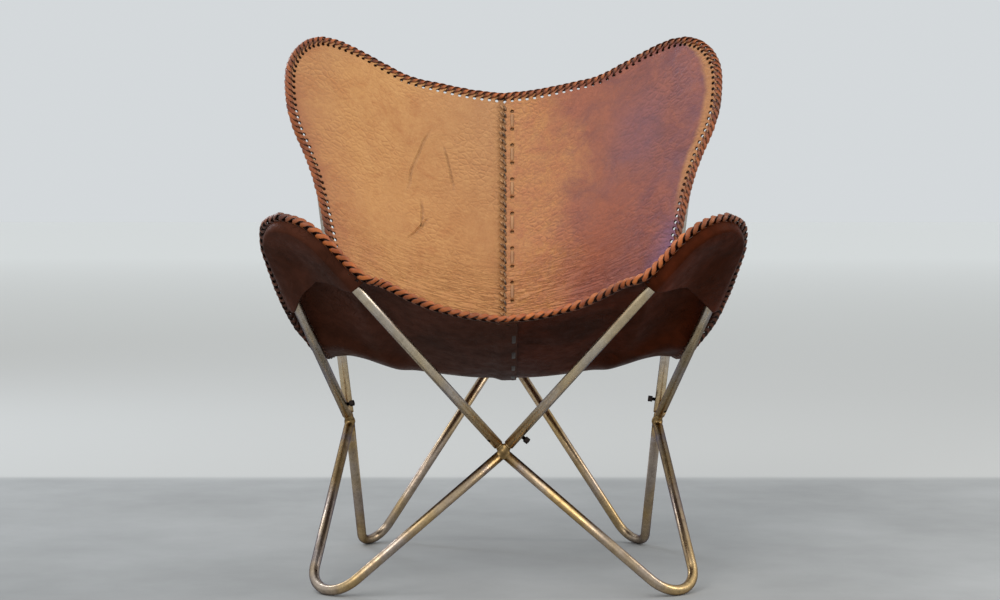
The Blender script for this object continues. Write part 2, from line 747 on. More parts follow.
def cut_edge_finish(name, dark, light):
    """The raw cut through the hide, in holes and along edges."""
    material, shader = finish_named(name, {"Roughness": 0.8})
    fibres = cloud_of(object_place(shader), 900, 4, 0.7)
    colour = ramp_of(fibres, [(0.3, dark), (0.7, light)])
    feed(shader, {"Base Color": colour, "Normal": bumped(fibres, 0.0002, 0.6)})
    return material


cut_edge = cut_edge_finish("cut_edge", linear(50, 28, 18), linear(98, 60, 36))
pocket_cut = cut_edge_finish("pocket_cut_edge", linear(120, 96, 78), linear(186, 160, 136))


def thong_finish(name, colours, hole_shade):
    """Lacing: a flat thong with dark cut borders. Its map runs along the lace, a whole number at each hole,
    and around it."""
    material, shader = finish_named(name, {
        "Coat Weight": 0.2, "Coat Roughness": 0.3, "Specular IOR Level": 0.42,
    })
    dark, middle, light = palette(*colours)
    place = object_place(shader)
    lace = uv_place(shader, "lace")
    along, around, _ = split(lace)
    border = ramp_of(around, [(0.0, 1.0), (0.07, 0.7), (0.14, 0.0), (0.36, 0.0), (0.43, 0.7), (0.5, 1.0)])
    from_hole = size_of(less(maths("FRACT", along), 0.5))
    by_hole = grey_ramp(from_hole, 0.2, 0.42, 0.0, hole_shade)
    per_loop = cloud_of(stretched(lace, (1, 0, 0)), 1.3, 2, 0.5)
    streaks = cloud_of(stretched(lace, (5, 40, 1)), 1.0, 4, 0.6)
    blotches = cloud_of(place, 16, 4, 0.6)
    colour = ramp_of(per_loop, [(0.35, middle), (0.65, light)])
    colour = mixed(grey_ramp(blotches, 0.42, 0.66, 0.0, 0.55), colour, dark)
    colour = mixed(grey_ramp(streaks, 0.5, 0.8, 0.0, 0.5), colour, dark)
    x, _, z = split(place)
    rubbed_side = product(grey_ramp(size_of(x), 0.27, 0.33, 0.0, 0.7), grey_ramp(z, 0.56, 0.66, 1.0, 0.3))
    colour = mixed(rubbed_side, colour, dimmed(dark, 0.5))
    colour = mixed(by_hole, colour, dimmed(dark, 0.3))
    colour = mixed(product(border, 0.8), colour, dimmed(dark, 0.3))
    feed(shader, {
        "Base Color": colour, "Normal": bumped(streaks, 0.0005, 0.6),
        "Roughness": grey_ramp(streaks, 0.3, 0.7, 0.4, 0.6),
    })
    return material


edge_thong = thong_finish("edge_thong", ((64, 26, 12), (160, 74, 30), (216, 120, 50)), 0.9)
seam_thong = thong_finish("seam_thong_finish", ((112, 70, 42), (178, 128, 80), (196, 146, 94)), 0.5)
bead_thong = thong_finish("bead_thong_finish", ((70, 44, 30), (130, 92, 62), (164, 128, 90)), 0.9)
dark_thong = thong_finish("dark_thong_finish", ((48, 28, 20), (84, 50, 32), (120, 80, 52)), 0.0)
cord_finish = thong_finish("cord_finish", ((66, 34, 20), (104, 54, 30), (130, 70, 38)), 0.0)
running_thong = thong_finish("running_thong_finish", ((130, 86, 54), (180, 128, 82), (198, 146, 96)), 0.0)

# The steel frame
TUBE_SIDES = 32
BEND_STEPS = 30
BORE_DEPTH = 6
DRILL_FROM = 1.5
DRILL_BEYOND = 4
DRILL_SIDES = 24
THREAD_TURNS = 14
THREAD_DEPTH = 0.45
THREAD_SIDES = 20
SHANK_SHORTER = 0.4
HEAD_ROUNDING = 0.55
KNOT_SKIN = 0.35
KNOT_TAPER_FROM = 0.7
KNOT_GRAIN = 0.0008
KNOT_SMOOTHINGS = 34


def place_in_frame(bm, flip=False):
    """Turns a bmesh in the part's millimetres into metres in the frame, on the left where flip is set."""
    side = -1 if flip else 1
    for vertex in bm.verts:
        x, y, z = vertex.co
        vertex.co = Vector((side * x, y - CHAIR_MIDDLE_Y, z)) * MM
    bmesh.ops.recalc_face_normals(bm, faces=bm.faces)


def edges_in(geometry):
    return [g for g in geometry if isinstance(g, bmesh.types.BMEdge)]


def verts_in(geometry):
    return [g for g in geometry if isinstance(g, bmesh.types.BMVert)]


def edges_at(bm, verts):
    """The edges that meet the vertices, in the bmesh's own order."""
    bm.edges.index_update()
    return sorted({edge for vertex in verts for edge in vertex.link_edges}, key=lambda edge: edge.index)


def standing(place, direction):
    """The placement that stands a Z axis along a direction."""
    turn = Vector(direction).to_track_quat("Z", "Y").to_matrix().to_4x4()
    turn.translation = place
    return turn


def cylinder(bm, radius, length, sides, matrix):
    made = bmesh.ops.create_cone(
        bm, cap_ends=True, segments=sides, radius1=radius, radius2=radius, depth=length, matrix=matrix)
    return made["verts"]


def ring_across(bm, centre, direction, normal):
    """A ring of edges as wide as the tube, square to a direction."""
    turn = Matrix((normal.cross(direction), normal, direction)).transposed().to_4x4()
    turn.translation = centre
    made = bmesh.ops.create_circle(bm, cap_ends=False, segments=TUBE_SIDES, radius=TUBE_RADIUS, matrix=turn)
    return edges_at(bm, made["verts"])


def pushed(bm, edges, move):
    """The ring's edges extruded along a move."""
    made = bmesh.ops.extrude_edge_only(bm, edges=edges)["geom"]
    verts = verts_in(made)
    bmesh.ops.translate(bm, verts=verts, vec=move)
    return edges_in(made), verts


def bored_end(bm, edges, centre, inward):
    """The open end of a tube: its wall, and a bore that goes a little way in."""
    made = bmesh.ops.extrude_edge_only(bm, edges=edges)["geom"]
    narrow = (TUBE_RADIUS - TUBE_WALL) / TUBE_RADIUS
    bmesh.ops.scale(bm, vec=(narrow,) * 3, verts=verts_in(made), space=Matrix.Translation(-centre))
    deep, _ = pushed(bm, edges_in(made), inward * BORE_DEPTH)
    bmesh.ops.holes_fill(bm, edges=deep, sides=TUBE_SIDES)


def bent_bar(name, line, material, flip, hollow):
    """A round bar or tube: a ring pushed down one leg, spun round the bend and pushed down the other."""
    bm = bmesh.new()
    first_leg = line["start"] - line["leg_a"]
    last_leg = line["leg_b"] - line["end"]
    ring = ring_across(bm, line["leg_a"], first_leg.normalized(), line["normal"])
    edges, verts = pushed(bm, ring, first_leg)
    spun = bmesh.ops.spin(
        bm, geom=edges + verts, cent=line["centre"], axis=line["normal"] * line["turn"],
        angle=line["sweep"], steps=BEND_STEPS, use_merge=False, use_duplicate=False,
    )["geom_last"]
    edges, _ = pushed(bm, edges_in(spun), last_leg)
    if hollow:
        bored_end(bm, ring, line["leg_a"], first_leg.normalized())
        bored_end(bm, edges, line["leg_b"], -last_leg.normalized())
    else:
        bmesh.ops.holes_fill(bm, edges=ring, sides=TUBE_SIDES)
        bmesh.ops.holes_fill(bm, edges=edges, sides=TUBE_SIDES)
    place_in_frame(bm, flip)
    bar = piece_from(name, bm, [material])
    for polygon in bar.data.polygons:
        polygon.use_smooth = len(polygon.vertices) == 4
    return bar


def clear_of(joint, corner_a, corner_b, radius):
    """How far from a joint two legs of that radius are clear of each other."""
    half = (corner_a - joint).angle(corner_b - joint) / 2
    return radius / math.tan(half) + 2 * FIT_GAP


joints = {
    "front": (FRONT_HUB + UPPER_RISE, FRONT_TIP, on_left(FRONT_TIP)),
    "side": (SIDE_HUB + UPPER_RISE, FRONT_TIP, BACK_TIP),
    "back": (BACK_HUB + UPPER_RISE, BACK_TIP, on_left(BACK_TIP)),
}
hoop_start = {
    name: HOOP_STANDOFF + max(
        NECK_REACH, clear_of(*joint, NECK_RADIUS), clear_of(*joint, TUBE_RADIUS) - HOOP_STANDOFF)
    for name, joint in joints.items()
}


def hoop_from(end, corner, radius):
    """A hoop's line, from where its tube starts above one hub to where it ends above the side hub."""
    first, last = joints[end][0], joints["side"][0]
    start = first + (corner - first).normalized() * hoop_start[end]
    stop = last + (corner - last).normalized() * hoop_start["side"]
    return bent_line(start, corner, stop, radius)


SIDES = (("right", False), ("left", True))
for side, flip in SIDES:
    for end, line in (("front", front_foot), ("back", back_foot)):
        foot = bent_bar(f"foot_{end}_{side}_bar", line, bar_steel, flip, False)
        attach(foot, BODY)
        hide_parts(f"foot_bend_{end}_{side}")


def drill(place, facing):
    """A round cutter that stands across the tube's wall."""
    bm = bmesh.new()
    length = TUBE_RADIUS + DRILL_BEYOND
    matrix = standing(place + facing * (DRILL_FROM + length / 2), facing)
    cylinder(bm, SCREW_RADIUS + FIT_GAP, length, DRILL_SIDES, matrix)
    place_in_frame(bm)
    return piece_from("drill", bm, [])


def cut_away(piece, cutter):
    """Cuts a closed cutter out of a closed piece and removes the cutter."""
    cut = piece.modifiers.new("cut", "BOOLEAN")
    cut.operation = "DIFFERENCE"
    cut.solver = "MANIFOLD"
    cut.object = cutter
    apply_modifiers(piece)
    bpy.data.objects.remove(cutter)


def lock_screw(name, place, facing):
    """A short black hex screw whose threaded shank shows between the tube and the head."""
    bm = bmesh.new()
    under_head = TUBE_RADIUS + SCREW_HEAD_STANDOFF
    start = TUBE_RADIUS - SCREW_DEPTH + SHANK_SHORTER
    profile = [bm.verts.new((0, 0, start))]
    for i in range(THREAD_TURNS * 2 + 1):
        height = start + (under_head - start) * i / (THREAD_TURNS * 2)
        profile.append(bm.verts.new((SCREW_RADIUS - (0.0 if i % 2 else THREAD_DEPTH), 0, height)))
    edges = [bm.edges.new(pair) for pair in zip(profile, profile[1:])]
    bmesh.ops.spin(
        bm, geom=profile + edges, cent=(0, 0, 0), axis=(0, 0, 1), angle=2 * math.pi, steps=THREAD_SIDES,
        use_merge=True)
    corner = SCREW_HEAD_ACROSS / 2 / math.cos(math.pi / 6)
    on_shank = Matrix.Translation((0, 0, under_head + SCREW_HEAD_HEIGHT / 2))
    head = cylinder(bm, corner, SCREW_HEAD_HEIGHT, 6, on_shank)
    bmesh.ops.bevel(
        bm, geom=edges_at(bm, head), offset=HEAD_ROUNDING, offset_type="OFFSET", segments=3, profile=0.5,
        affect="EDGES", material=-1)
    bmesh.ops.remove_doubles(bm, verts=bm.verts, dist=0.01)
    bmesh.ops.transform(bm, matrix=standing(place, facing), verts=bm.verts)
    place_in_frame(bm)
    return piece_from(name, bm, [black_steel], smooth=False)


# Each hoop's name, end, tip and bend, whether its lock screw is on that end's leg, and whether it is on the
# left.
HOOPS = (
    ("front_right", "front", FRONT_TIP, FRONT_TIP_BEND, True, False),
    ("back_right", "back", BACK_TIP, BACK_TIP_BEND, False, False),
    ("back_left", "back", BACK_TIP, BACK_TIP_BEND, True, True),
    ("front_left", "front", FRONT_TIP, FRONT_TIP_BEND, False, True),
)
for name, end, corner, bend, lock_first, flip in HOOPS:
    line = hoop_from(end, corner, bend)
    hoop = bent_bar(f"hoop_{name}_tube", line, tube_steel, flip, True)
    mirror = on_left if flip else Vector
    outward = -mirror(sitter_side(line))
    for first, joint_name in ((True, end), (False, "side")):
        joint = mirror(joints[joint_name][0])
        leg = (mirror(corner) - joint).normalized()
        locks = lock_first == first
        sideways = Vector(((-1 if flip else 1) * (1 if first else -1), 0, 0))
        facing = (sideways - leg * sideways.dot(leg)).normalized() if locks else outward
        place = joint + leg * (SCREW_FROM_HUB if locks else GRUB_FROM_HUB)
        cut_away(hoop, drill(place, facing))
        if locks:
            screw = lock_screw(f"lock_screw_{name}_threaded", place, facing)
            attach(screw, f"lock_screw_{name}")
            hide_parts(f"lock_screw_{name}")
    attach(hoop, BODY)
    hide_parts(f"hoop_{name}")


def weld_knot(name, cad, hub, arms):
    """A hub with its weld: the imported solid, its lower arms tapered to the bars, remeshed and smoothed so
    that the four bars run into one another in rounded hollows."""
    bm = bmesh.new()
    bm.from_mesh(cad.data)
    bmesh.ops.remove_doubles(bm, verts=bm.verts, dist=0.00001)
    centre = Vector(placed(hub))
    for vertex in bm.verts:
        offset = vertex.co - centre
        for arm in arms:
            along = offset.dot(arm)
            radial = offset - arm * along
            if along > KNOT_REACH * KNOT_TAPER_FROM * MM and radial.length > 0:
                radial *= min(1, (TUBE_RADIUS + KNOT_SKIN) * MM / radial.length)
                vertex.co = centre + arm * along + radial
                break
    knot = piece_from(name, bm, [weld_steel])
    remesh = knot.modifiers.new("remesh", "REMESH")
    remesh.mode = "VOXEL"
    remesh.voxel_size = KNOT_GRAIN
    remesh.use_smooth_shade = True
    smooth = knot.modifiers.new("smooth", "SMOOTH")
    smooth.factor = 0.5
    smooth.iterations = KNOT_SMOOTHINGS
    apply_modifiers(knot)
    return knot


lower_arms = {
    "front": (FRONT_HUB, [-front_foot["a"], on_left(-front_foot["a"])]),
    "right": (SIDE_HUB, [-front_foot["b"], -back_foot["b"]]),
    "back": (BACK_HUB, [-back_foot["a"], on_left(-back_foot["a"])]),
    "left": (on_left(SIDE_HUB), [on_left(-front_foot["b"]), on_left(-back_foot["b"])]),
}
for hub_name, (hub, arms) in lower_arms.items():
    knot = weld_knot(f"weld_{hub_name}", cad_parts[f"hub_{hub_name}"], hub, arms)
    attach(knot, BODY)
    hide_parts(f"hub_{hub_name}")

for cad_name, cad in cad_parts.items():
    if cad_name.startswith(("spigot", "grub_screw")):
        cad.data.materials.clear()
        cad.data.materials.append(black_steel if cad_name.startswith("grub") else tube_steel)

# The edge of the sling, as one closed line, with its punched holes
OUTLINE_STEPS = 600
INSIDE_SHARE = 0.9
HOLE_COUNT_STEPS = 3000
HOLE_INSET = 8.6
HOLE_RADIUS = 3.1
HOLE_SIDES = 10
CUTTER_LENGTH = 20
LACE_PITCH = 11.8
LACE_PITCH_BACK = 13.2
LACE_PITCH_FRONT = 14.6
BACK_PITCH_ABOVE = 740
BACK_PITCH_WITHIN = 330
FRONT_PITCH_BEFORE = -150
PITCH_FADE = 60
PITCH_FADE_ASIDE = 40
SEAM_STEPS = 900
RUN_X = 15.5
RUN_PITCH = 64.0
RUN_LENGTH = 30.0
RUN_FIRST = 32.0
RUN_HOLE = 3.5
RUN_HOLE_BEYOND = 1.8


def sling_outline():
    """Edge points with their outward directions and normals, as a function of the distance along the edge.
    It runs clockwise from the left back tip, as the sitter's side is seen."""
    share = np.linspace(0, 1, OUTLINE_STEPS, endpoint=False)
    ones = np.ones(OUTLINE_STEPS)
    u = np.concatenate([2 * share - 1, ones, 1 - 2 * share, -ones])
    v = np.concatenate([ones, 1 - share, 0 * ones, share])
    points = sling_points(u, v)
    normals = sling_normals(u, v)
    tangents = unit(np.roll(points, -2, 0) - np.roll(points, 2, 0))
    out = unit(np.cross(tangents, normals))
    inside = sling_points(u * INSIDE_SHARE, 0.5 + (v - 0.5) * INSIDE_SHARE)
    wrong = np.sum(out * (inside - points), -1) > 0
    out[wrong] *= -1
    columns = np.hstack([points, out, normals])
    columns = np.vstack([columns, columns[:1]])
    reach = reach_along(columns[:, :3])

    def at(distance):
        found = read_at(np.mod(distance, reach[-1]), reach, columns)
        return found[..., :3], unit(found[..., 3:6]), unit(found[..., 6:9])

    return at, reach[-1]


outline, outline_length = sling_outline()


def punched_holes():
    """Where each hole lies, wider apart at the front and the back than at the sides, and how many there
    are."""
    steps = np.linspace(0, outline_length, HOLE_COUNT_STEPS)
    points, _, _ = outline(steps)
    back = smooth_step((points[:, 2] - BACK_PITCH_ABOVE) / PITCH_FADE) \
        * smooth_step((BACK_PITCH_WITHIN - np.abs(points[:, 0])) / PITCH_FADE_ASIDE)
    front = smooth_step((FRONT_PITCH_BEFORE - points[:, 1]) / PITCH_FADE)
    pitch = LACE_PITCH + (LACE_PITCH_BACK - LACE_PITCH) * back + (LACE_PITCH_FRONT - LACE_PITCH) * front
    count = np.concatenate([[0], np.cumsum(np.diff(steps) / pitch[1:])])
    total = round(count[-1])
    count *= total / count[-1]

    def at(number):
        rounds, within = np.divmod(number, total)
        return rounds * outline_length + np.interp(within, count, steps)

    return at, total


hole_distance, loop_count = punched_holes()


def seam_line(x, height):
    """The line over the sling at x, from the back edge down: a point and the sling's normal for each
    distance, and the line's length."""
    v = np.linspace(1, 0, SEAM_STEPS)
    u = share_at_x(np.full_like(v, x), v)
    normals = sling_normals(u, v)
    points = sling_points(u, v) + normals * height
    reach = reach_along(points)
    columns = np.hstack([points, normals])

    def at(distance):
        found = read_at(distance, reach, columns)
        return found[..., :3], unit(found[..., 3:])

    return at, reach[-1]


_, seam_length = seam_line(0, 0)
run_starts = np.arange(RUN_FIRST, seam_length - RUN_LENGTH, RUN_PITCH)


def punch(bm, point, direction, radius):
    """Adds a closed round cutter that stands on the leather."""
    cylinder(bm, radius * MM, CUTTER_LENGTH * MM, HOLE_SIDES, standing(placed(point), direction))


def hole_cutters(with_run):
    """One object with a round cutter for every hole, along the edge and at the running thong's ends."""
    bm = bmesh.new()
    points, out, normals = outline(hole_distance(np.arange(loop_count)))
    for point, outward, normal in zip(points, out, normals):
        punch(bm, point - outward * HOLE_INSET, normal, HOLE_RADIUS)
    line, _ = seam_line(RUN_X, 0)
    for start in run_starts if with_run else ():
        for distance in (start - RUN_HOLE_BEYOND, start + RUN_LENGTH + RUN_HOLE_BEYOND):
            point, normal = line(distance)
            punch(bm, point, normal, RUN_HOLE)
    return piece_from("holes", bm, [cut_edge], smooth=False)


# Panels
PANEL_COLUMNS = 104
PANEL_ROWS = 236
SWELL = 0.9
SWELL_BASE = 0.6
SWELL_SCALE = 0.011
CALM_BY_EDGE = 9
CALM_BY_SEAM = 60
SEAM_CALM_SHARE = 0.4
# The hide's map is stretched a little: the surface is wider than in x, and longer than the centre line.
MAP_ACROSS = 1.15
MAP_ALONG = 1.1


def thicken(piece, thickness):
    """Gives a sheet its thickness on both sides of its middle. The materials are top, back and rim."""
    solid = piece.modifiers.new("thickness", "SOLIDIFY")
    solid.thickness = thickness * MM
    solid.offset = 0
    solid.material_offset = 1
    solid.material_offset_rim = 2
    apply_modifiers(piece)


def panel(name, side, materials):
    """One half of the sling. The right one lies on top at the centre, the left one steps down under it."""
    bm, share, v = grid_of(PANEL_COLUMNS, PANEL_ROWS)
    start = share_at_x(LAP_OVER if side > 0 else LAP_UNDER, v)
    u = start + (side - start) * share
    points = sling_points(u, v)
    normals = sling_normals(u, v)
    swell = np.array([noise.noise(Vector(point * SWELL_SCALE)) for point in points])
    calm = smooth_step(np.minimum(np.minimum(v, 1 - v), 1 - np.abs(u)) * CALM_BY_EDGE)
    beyond_seam = smooth_step(np.abs(points[:, 0]) / CALM_BY_SEAM - SEAM_CALM_SHARE)
    lift = (SWELL_BASE + swell) * SWELL * calm * beyond_seam
    drop = np.zeros_like(u)
    if side < 0:
        drop = (LEATHER + LACE_GAP) * smooth_step((points[:, 0] + LAP_JOGGLE) / LAP_JOGGLE)
    points = points + normals * (lift - drop)[:, None]
    move_vertices(bm, placed(points))
    rows = centre_curve.length * v
    set_uv(bm, "hide", np.stack([points[:, 0] * MM * MAP_ACROSS, rows * MM * MAP_ALONG], -1))
    set_uv(bm, "share", np.stack([np.abs(u), v], -1))
    if side < 0:
        bmesh.ops.reverse_faces(bm, faces=bm.faces)
    half = piece_from(name, bm, materials)
    thicken(half, LEATHER)
    cut_away(half, hole_cutters(side > 0))
    return half


right_half = panel("panel_right_hide", 1, [brown_hide, dark_right, cut_edge])
left_half = panel("panel_left_hide", -1, [tan_hide, dark_left, cut_edge])
for half, cad_name, slot in (
    (right_half, "panel_right", "brown_leather"), (left_half, "panel_left", "tan_leather"),
):
    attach(half, BODY)
    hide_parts(cad_name)

# Pockets
LEG_STATIONS = 30
POCKET_RINGS = 44
RING_PART = 0.6
POCKET_DIP = 9.0
POCKET_DIP_OVER = 1.1
POCKET_MERGE = 0.0002
POCKET_EDGE_STEPS = 600


def edge_from(axis_point, arm, normal, edge):
    """How far out along the arm, and how high, the sling's edge lies as seen from the tube's centre line."""
    beside = np.cross(normal, arm)
    seen = edge - axis_point
    side = seen @ beside
    crossing = np.nonzero((side[:-1] * side[1:] <= 0) & (side[:-1] != side[1:]))[0]
    best = None
    for i in crossing:
        hit = seen[i] + (seen[i + 1] - seen[i]) * (side[i] / (side[i] - side[i + 1]))
        reach = hit @ arm
        if reach > 0 and (best is None or reach < best[0]):
            best = (reach, hit @ normal)
    return best


def pocket_station(line, edge, hems, inner, station):
    """The pocket at one station along the tube, from leg to leg: the point on the tube's centre line, the
    way out, how far the pocket reaches, how high its edge is, its inner end, and how far down a leg."""
    hem_a, hem_b, hem_middle, _ = hems
    down_a = max(1 - station, 0)
    down_b = max(station - 2, 0)
    arm = arm_at(line, min(max(station - 1, 0), 1))
    axis_point = line["centre"] + arm * line["radius"] \
        + line["a"] * (down_a * hem_a) + line["b"] * (down_b * hem_b)
    reach, level = edge_from(np.array(axis_point), np.array(arm), inner, edge)
    under_panel = LEATHER / 2 + POCKET_GAP + POCKET_LEATHER / 2
    spine = line["centre"] + line["middle"] * (hem_middle * (down_a + down_b))
    reach = max(reach - POCKET_INSET, POCKET_LEAST_REACH)
    return np.array(axis_point), np.array(arm), reach, level - under_panel, np.array(spine), down_a + down_b


def pocket(name, line, edge, hems, materials, flip):
    """A pocket: from the sling's edge it curls round the outside of the tube and runs flat between the
    legs."""
    inner = np.array(sitter_side(line))
    flat_level = TUBE_RADIUS + POCKET_CLEARANCE + POCKET_LEATHER / 2
    bm, along, inward = grid_of(3 * LEG_STATIONS, POCKET_RINGS)
    stations = {}
    points = []
    for station, ring in zip(np.round(along * 3, 6), inward):
        if station not in stations:
            stations[station] = pocket_station(line, edge, hems, inner, station)
        axis_point, arm, reach, edge_level, spine, down = stations[station]
        if ring <= RING_PART:
            share = ring / RING_PART
            beyond = max(reach - POCKET_ROUND_REACH, 0)
            rounded = max(POCKET_ROUNDNESS - beyond * POCKET_ROUND_FALL, POCKET_LEAST_ROUND)
            level = edge_level - (edge_level + flat_level) * (1 - (1 - share) ** rounded)
            points.append(axis_point + arm * reach * (1 - share) + inner * level)
        else:
            share = (ring - RING_PART) / (1 - RING_PART)
            arch = -np.array(line["middle"]) * (hems[3] * math.sin(math.pi * share) ** 2 * down ** 2)
            dip = inner * (POCKET_DIP * smooth_step(np.array(share * POCKET_DIP_OVER - 0.1)))
            points.append(axis_point + (spine - axis_point) * share - inner * flat_level + dip + arch)
    points = np.array(points)
    if flip:
        points[:, 0] *= -1
    move_vertices(bm, placed(points))
    bmesh.ops.remove_doubles(bm, verts=bm.verts, dist=POCKET_MERGE)
    bmesh.ops.smooth_vert(
        bm, verts=[v for v in bm.verts if not v.is_boundary], factor=0.5,
        use_axis_x=True, use_axis_y=True, use_axis_z=True)
    bmesh.ops.recalc_face_normals(bm, faces=bm.faces)
    made = piece_from(name, bm, materials)
    thicken(made, POCKET_LEATHER)
    cut_away(made, hole_cutters(False))
    return made


edge_steps = np.linspace(0, 1, POCKET_EDGE_STEPS)
front_outline = curled(np.vstack([front_curve(edge_steps), side_curve(edge_steps)]))
back_outline = np.vstack([side_curve(edge_steps), back_curve(edge_steps[::-1])])
for side, flip in SIDES:
    dark = dark_left if flip else dark_right
    for end, line, edge, hems in (
        ("front", front_hoop, front_outline, FRONT_POCKET), ("back", back_hoop, back_outline, BACK_POCKET),
    ):
        made = pocket(f"pocket_{end}_{side}_hide", line, edge, hems[side], [dark, dark, pocket_cut], flip)
        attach(made, BODY)
        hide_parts(f"pocket_{end}_{side}")

# Lacing
THONG_SIDES = 8
THONG_SQUARENESS = 0.7
THONG_MERGE = 0.00002
LACE_STEPS = 14
LACE_THICKNESS = 1.9
LACE_WIDTH_IN_HOLE = 3.8
LACE_WIDTH_OUTSIDE = 7.8
LACE_REACH = 6.1
LACE_IN_HOLE = 2.7
LACE_RISE = 3.0
LACE_WANDER = 0.4
# How far each loop has moved on along the edge, in holes, at a few shares of its turn.
LACE_MOVES_ON = ((0, 0), (0.4, 1.05), (0.5, 1.5), (0.62, 2.0), (0.76, 2.1), (1, 1))
CORD_OUT = 3.4
CORD_BEHIND = 0.3
CORD_SIZE = 5.2
CORD_STEPS = 3
FRONT_POCKET_ABOVE = 440
FRONT_POCKET_BEFORE = -150
BACK_POCKET_ABOVE = 745
BACK_POCKET_BEYOND = 160
POCKET_FADE = 12
POCKET_FADE_ASIDE = 20


def rolled(name, path, width_way, high_way, widths, height, uv, materials, closed):
    """A thong: a flat grid rolled round a path, with its own width at every step."""
    steps = len(path) if closed else len(path) - 1
    bm, around, along = grid_of(THONG_SIDES, steps)
    count = np.round(along * steps).astype(int)
    step = count % len(path)
    angle = around * 2 * math.pi
    beside, over = [
        np.sign(part) * np.abs(part) ** THONG_SQUARENESS for part in (np.cos(angle), np.sin(angle))]
    points = path[step] + width_way[step] * (beside * widths[step] / 2)[:, None] \
        + high_way[step] * (over * height / 2)[:, None]
    move_vertices(bm, placed(points))
    uv_to_end = np.append(uv, uv[-1] + uv[1] - uv[0])
    set_uv(bm, "lace", np.stack([uv_to_end[count], around], -1))
    bmesh.ops.remove_doubles(bm, verts=bm.verts, dist=THONG_MERGE)
    if not closed:
        bmesh.ops.holes_fill(bm, edges=[e for e in bm.edges if e.is_boundary], sides=THONG_SIDES)
    bmesh.ops.recalc_face_normals(bm, faces=bm.faces)
    return piece_from(name, bm, materials)


def edge_lacing():
    """One long flat thong whipped round the edge through every hole. The front of each loop leans on by more
    than one hole, and its back returns to the next."""
    turn = np.arange(loop_count * LACE_STEPS) / LACE_STEPS
    loop, phase = np.floor(turn), np.mod(turn, 1)
    distance = hole_distance(loop + np.interp(phase, *zip(*LACE_MOVES_ON)))
    edge, out, normal = outline(distance)
    theta = 2 * math.pi * phase
    random.seed(7)
    wander = np.array([random.uniform(-1, 1) for _ in range(loop_count)])[loop.astype(int)]
    away = LACE_REACH * (1 - np.cos(theta)) + LACE_IN_HOLE - HOLE_INSET
    away = away + wander * LACE_WANDER * np.sin(theta / 2)
    level = np.abs(np.sin(theta)) ** 0.5
    raised = LACE_RISE * np.sign(np.sin(theta)) * level
    raised -= np.where(raised < 0, extra_behind(distance) * level, 0)
    path = edge + out * away[:, None] + normal * raised[:, None]
    tangent = unit(np.roll(path, -1, 0) - np.roll(path, 1, 0))
    middle = edge + out * (LACE_REACH + LACE_IN_HOLE - HOLE_INSET)
    high = path - middle
    high = unit(high - tangent * np.sum(high * tangent, -1)[:, None])
    wide = np.cross(tangent, high)
    widths = LACE_WIDTH_IN_HOLE + (LACE_WIDTH_OUTSIDE - LACE_WIDTH_IN_HOLE) * np.sin(theta / 2) ** 0.7
    return rolled("edge_lacing", path, wide, high, widths, LACE_THICKNESS, turn, [edge_thong], closed=True)


def edge_cord():
    """The round edge that the lacing is whipped over, dark between the loops."""
    turn = np.arange(loop_count * CORD_STEPS) / CORD_STEPS
    edge, out, normal = outline(hole_distance(turn))
    path = edge + out * CORD_OUT - normal * CORD_BEHIND
    widths = np.full(len(turn), CORD_SIZE)
    return rolled("edge_cord", path, out, normal, widths, CORD_SIZE, turn + 0.5, [cord_finish], closed=True)


def extra_behind(distance):
    """How much further behind the sling the lace goes where a pocket lies under the edge."""
    points, _, _ = outline(distance)
    front = smooth_step((points[:, 2] - FRONT_POCKET_ABOVE) / POCKET_FADE) \
        * smooth_step((FRONT_POCKET_BEFORE - points[:, 1]) / POCKET_FADE_ASIDE + 1)
    back = smooth_step((points[:, 2] - BACK_POCKET_ABOVE) / POCKET_FADE) \
        * smooth_step((np.abs(points[:, 0]) - BACK_POCKET_BEYOND) / POCKET_FADE_ASIDE + 0.5)
    return np.clip(front + back, 0, 1) * (POCKET_GAP + POCKET_LEATHER)


lacing = edge_lacing()
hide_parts("lacing_front", "lacing_back", "lacing_left", "lacing_right")
for made in (lacing, edge_cord()):
    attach(made, BODY)

# Centre seam
STITCH_STEPS = 8
STITCH_SINK = 1.6
STITCH_MAP_STEP = 0.37
SEAM_FROM = 14
SEAM_SHORT = 26
HOOK_PITCH = 13.0
HOOK_SIDES = (-5.4, 1.4)
HOOK_LEAN = 11.0
HOOK_SIZE = (4.2, 1.5)
HOOK_BOW = 1.3
BEAD_AFTER_HOOK = 4
BEAD_SIDES = (1.0, 4.6)
BEAD_LEAN = 10.0
BEAD_SIZE = (3.6, 2.2)
RUN_SIZE = (6.0, 1.5)


def joined(name, pieces):
    """Several pieces made one mesh."""
    bm = bmesh.new()
    for part in pieces:
        bm.from_mesh(part.data)
    materials = list(pieces[0].data.materials)
    for part in pieces:
        bpy.data.objects.remove(part)
    return piece_from(name, bm, materials)


